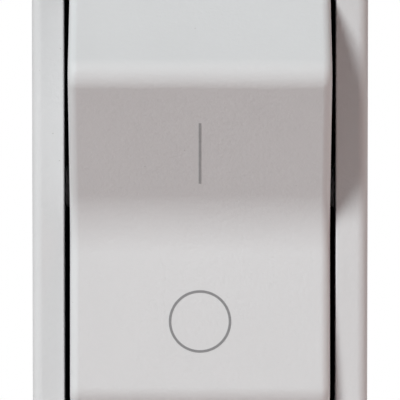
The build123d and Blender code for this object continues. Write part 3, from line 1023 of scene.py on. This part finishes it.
@dataclass
class TerminalScrews:
    """Four slotted clamp screws with cut threads, driven from the back."""

    material: Material
    head_radius: float = 2.6 * MM
    head_flats: int = 64
    head_height: float = 2.0 * MM
    head_round: float = 0.3 * MM
    head_round_flats: int = 4
    slot_width: float = 0.7 * MM
    slot_depth: float = 0.9 * MM
    lobe_root: float = 0.05 * MM
    thread_radius: float = 1.5 * MM
    thread_depth: float = 0.27 * MM
    pitch: float = 0.5 * MM

    def __post_init__(self) -> None:
        """Takes the ends of the screws from the frame."""
        low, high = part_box("terminal_screws")
        self.tip = low.y
        self.back = high.y
        self.seat = self.back - self.head_height

    def lobes(self) -> BMesh:
        """Two halves of a head, one on each side of the slot.

        Returns:
            The halves, about the screw's axis.
        """
        mesh = bmesh.new()
        floor = self.back - self.slot_depth - self.lobe_root
        place = Matrix.Translation((0, floor, 0)) @ Matrix.Rotation(-pi / 2, 4, "X")
        bmesh.ops.create_circle(
            mesh, cap_ends=True, segments=self.head_flats, radius=self.head_radius, matrix=place
        )
        everything = [*mesh.verts, *mesh.edges, *mesh.faces]
        cut = Vector((0, 0, self.slot_width / 2))
        bmesh.ops.bisect_plane(mesh, geom=everything, plane_co=cut, plane_no=(0, 0, 1), clear_inner=True)
        moved = draw_out(mesh, mesh.faces[:], (0, self.slot_depth + self.lobe_root, 0))
        top = [edge for edge in mesh.edges if all(vert in moved for vert in edge.verts)]
        curved = [edge for edge in top if edge.calc_length() < self.head_radius]
        round_edges(mesh, curved, self.head_round, self.head_round_flats)
        bmesh.ops.mirror(mesh, geom=[*mesh.verts, *mesh.edges, *mesh.faces], axis="Z", merge_dist=0)
        return mesh

    def screw(self) -> BMesh:
        """One screw about its axis, at the origin.

        Returns:
            The screw.
        """
        mesh = bmesh.new()
        core = self.thread_radius - self.thread_depth
        slot_floor = self.back - self.slot_depth
        profile = [
            (0, self.tip),
            (core - self.thread_depth, self.tip),
            (core, self.tip + self.thread_depth),
            (core, self.seat),
            (self.head_radius - self.thread_depth / 2, self.seat),
            (self.head_radius, self.seat + self.thread_depth / 2),
            (self.head_radius, slot_floor),
            (0, slot_floor),
        ]
        turned(mesh, Vector((0, 0, 0)), profile, self.head_flats)
        pour(mesh, self.lobes())
        ridge = [(core, 0), (self.thread_radius, self.pitch / 2), (core, self.pitch)]
        corners = [mesh.verts.new((radius, self.tip + along, 0)) for radius, along in ridge]
        section = bmesh.ops.contextual_create(mesh, geom=corners)["faces"][0]
        rise = self.seat - self.tip - self.pitch
        coil(mesh, section, Vector((0, 0, 0)), [(rise / self.pitch, rise)])
        return mesh

    def build(self) -> None:
        """Sets one screw into each terminal block."""
        mesh = bmesh.new()
        for pole in Pole:
            for end in ("line", "load"):
                low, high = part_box(f"{end}_block_{pole.value}")
                one = self.screw()
                bmesh.ops.translate(one, verts=one.verts, vec=(pole.x, 0, (low.z + high.z) / 2))
                pour(mesh, one)
        settle(
            mesh,
            "terminal_screw_set",
            self.material,
            Body.FRAME,
            stands_for="terminal_screws",
        )


@dataclass
class Studio:
    """Camera at the photograph's place, soft lamps, a white surround and a pale floor."""

    distance: float = 0.45
    look_down: float = radians(5.2)
    aim: float = -0.42 * MM
    view_width: float = 29.77 * MM
    sensor: float = 36.0
    lamp_distance: float = 2.0
    key_from: tuple[float, float] = (-36, 38)
    key_width: float = 0.7
    key_levels: Colour = (1.015, 1.055, 1.06)
    fill_from: tuple[float, float] = (74, 4)
    fill_width: float = 0.8
    fill_levels: Colour = (0.13, 0.05, 0.035)
    side_from: tuple[float, float] = (100, 8)
    side_width: float = 0.8
    side_levels: Colour = (0.14, 0.17, 0.17)
    rear_from: tuple[float, float] = (166, 38)
    rear_width: float = 1.2
    rear_levels: Colour = (0.3, 0.3, 0.3)
    ambient: Colour = (0.01, 0.01, 0.01)
    floor_radius: float = 0.18
    floor_flats: int = 96
    floor_ahead: float = 0.08
    floor_colour: Colour = (0.8, 0.71, 0.7)
    floor_roughness: float = 0.9

    def camera(self) -> None:
        """Stands the camera in front of the switch, looking a little down on it."""
        data = bpy.data.cameras.new("camera")
        data.sensor_width = self.sensor
        data.lens = self.sensor * self.distance / self.view_width
        camera = bpy.data.objects.new("camera", data)
        back_off = Vector((0, -cos(self.look_down), sin(self.look_down))) * self.distance
        camera.location = Vector((0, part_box("bezel")[0].y, self.aim)) + back_off
        camera.rotation_euler = (pi / 2 - self.look_down, 0, 0)
        bpy.context.scene.collection.objects.link(camera)
        bpy.context.scene.camera = camera

    def lamp(self, name: str, place: tuple[float, float], width: float, levels: Colour) -> None:
        """Hangs a round soft lamp.

        Args:
            name: the lamp's name.
            place: degrees to the right of the front and above the floor that it hangs at.
            width: the lamp's diameter.
            levels: share of its own colour, by channel, that a surface facing the lamp gives back.
        """
        aside, above = (radians(angle) for angle in place)
        direction = Vector((sin(aside) * cos(above), -cos(aside) * cos(above), sin(above)))
        data = bpy.data.lights.new(name, "AREA")
        data.shape = "DISK"
        data.size = width
        data.color = shaded(levels, 1 / max(levels))
        data.energy = max(levels) * (pi * self.lamp_distance) ** 2
        lamp = bpy.data.objects.new(name, data)
        lamp.location = direction * self.lamp_distance
        lamp.rotation_euler = direction.to_track_quat("Z", "Y").to_euler()
        bpy.context.scene.collection.objects.link(lamp)

    def surround(self) -> None:
        """Surrounds the switch with white for the eye and for gloss, and with dim light for the rest."""
        world = bpy.data.worlds.new("surround")
        world.use_nodes = True
        nodes, links = world.node_tree.nodes, world.node_tree.links
        path = nodes.new("ShaderNodeLightPath")
        seen = path.outputs["Is Camera Ray"]
        for name in ("Is Glossy Ray", "Is Transmission Ray"):
            both = nodes.new("ShaderNodeMath")
            both.operation = "MAXIMUM"
            links.new(seen, both.inputs[0])
            links.new(path.outputs[name], both.inputs[1])
            seen = both.outputs[0]
        white = nodes.new("ShaderNodeBackground")
        white.inputs["Color"].default_value = (1, 1, 1, 1)
        nodes["Background"].inputs["Color"].default_value = (*self.ambient, 1)
        either = nodes.new("ShaderNodeMixShader")
        links.new(seen, either.inputs[0])
        links.new(nodes["Background"].outputs[0], either.inputs[1])
        links.new(white.outputs[0], either.inputs[2])
        links.new(either.outputs[0], nodes["World Output"].inputs["Surface"])
        bpy.context.scene.world = world

    def floor(self) -> None:
        """Lays a pale floor under the switch, which lights it a little from below."""
        mesh = bmesh.new()
        place = Matrix.Translation((0, -self.floor_ahead, CAD_BOX[0].z))
        bmesh.ops.create_circle(
            mesh, cap_ends=True, segments=self.floor_flats, radius=self.floor_radius, matrix=place
        )
        data = bpy.data.meshes.new("floor")
        mesh.to_mesh(data)
        mesh.free()
        material = bpy.data.materials.new("floor")
        material.use_nodes = True
        surface = material.node_tree.nodes["Principled BSDF"]
        surface.inputs["Base Color"].default_value = (*self.floor_colour, 1)
        surface.inputs["Roughness"].default_value = self.floor_roughness
        data.materials.append(material)
        floor = bpy.data.objects.new("floor", data)
        bpy.context.scene.collection.objects.link(floor)

    def build(self) -> None:
        """Sets up everything round the switch."""
        bpy.context.scene.view_settings.view_transform = "Standard"
        self.camera()
        self.lamp("key", self.key_from, self.key_width, self.key_levels)
        self.lamp("fill", self.fill_from, self.fill_width, self.fill_levels)
        self.lamp("side", self.side_from, self.side_width, self.side_levels)
        self.lamp("rear", self.rear_from, self.rear_width, self.rear_levels)
        self.surround()
        self.floor()


def dress_nodes(materials: dict[Slot, Material]) -> None:
    """Gives every node of the part the finish of its slot.

    Args:
        materials: the material of each slot.
    """
    for row in frame["record"]["subparts"]:
        for place in frame["nodes"][row["node"]].material_slots:
            place.material = materials[Slot(row["material_slot"])]
        log.info("%s is dressed as %s", row["node"], row["material_slot"])


def main() -> None:
    """Builds the switch's pieces in order, then the studio round them."""
    logging.basicConfig(level=logging.INFO, format="%(name)s: %(message)s")
    materials = {slot: finish.material() for slot, finish in FINISHES.items()}
    dress_nodes(materials)
    Bezel(materials[Slot.WHITE_MOULDING]).build()
    rocker = Rocker(materials[Slot.WHITE_MOULDING], ON_INK.material(), OFF_INK.material())
    rocker.build()
    for pole in Pole:
        PlungerSpring(materials[Slot.SPRING_STEEL], pole, rocker.sleeve_bottom).build()
    TerminalScrews(materials[Slot.SCREW_BRASS]).build()
    Studio().build()


if __name__ == "__main__":
    main()
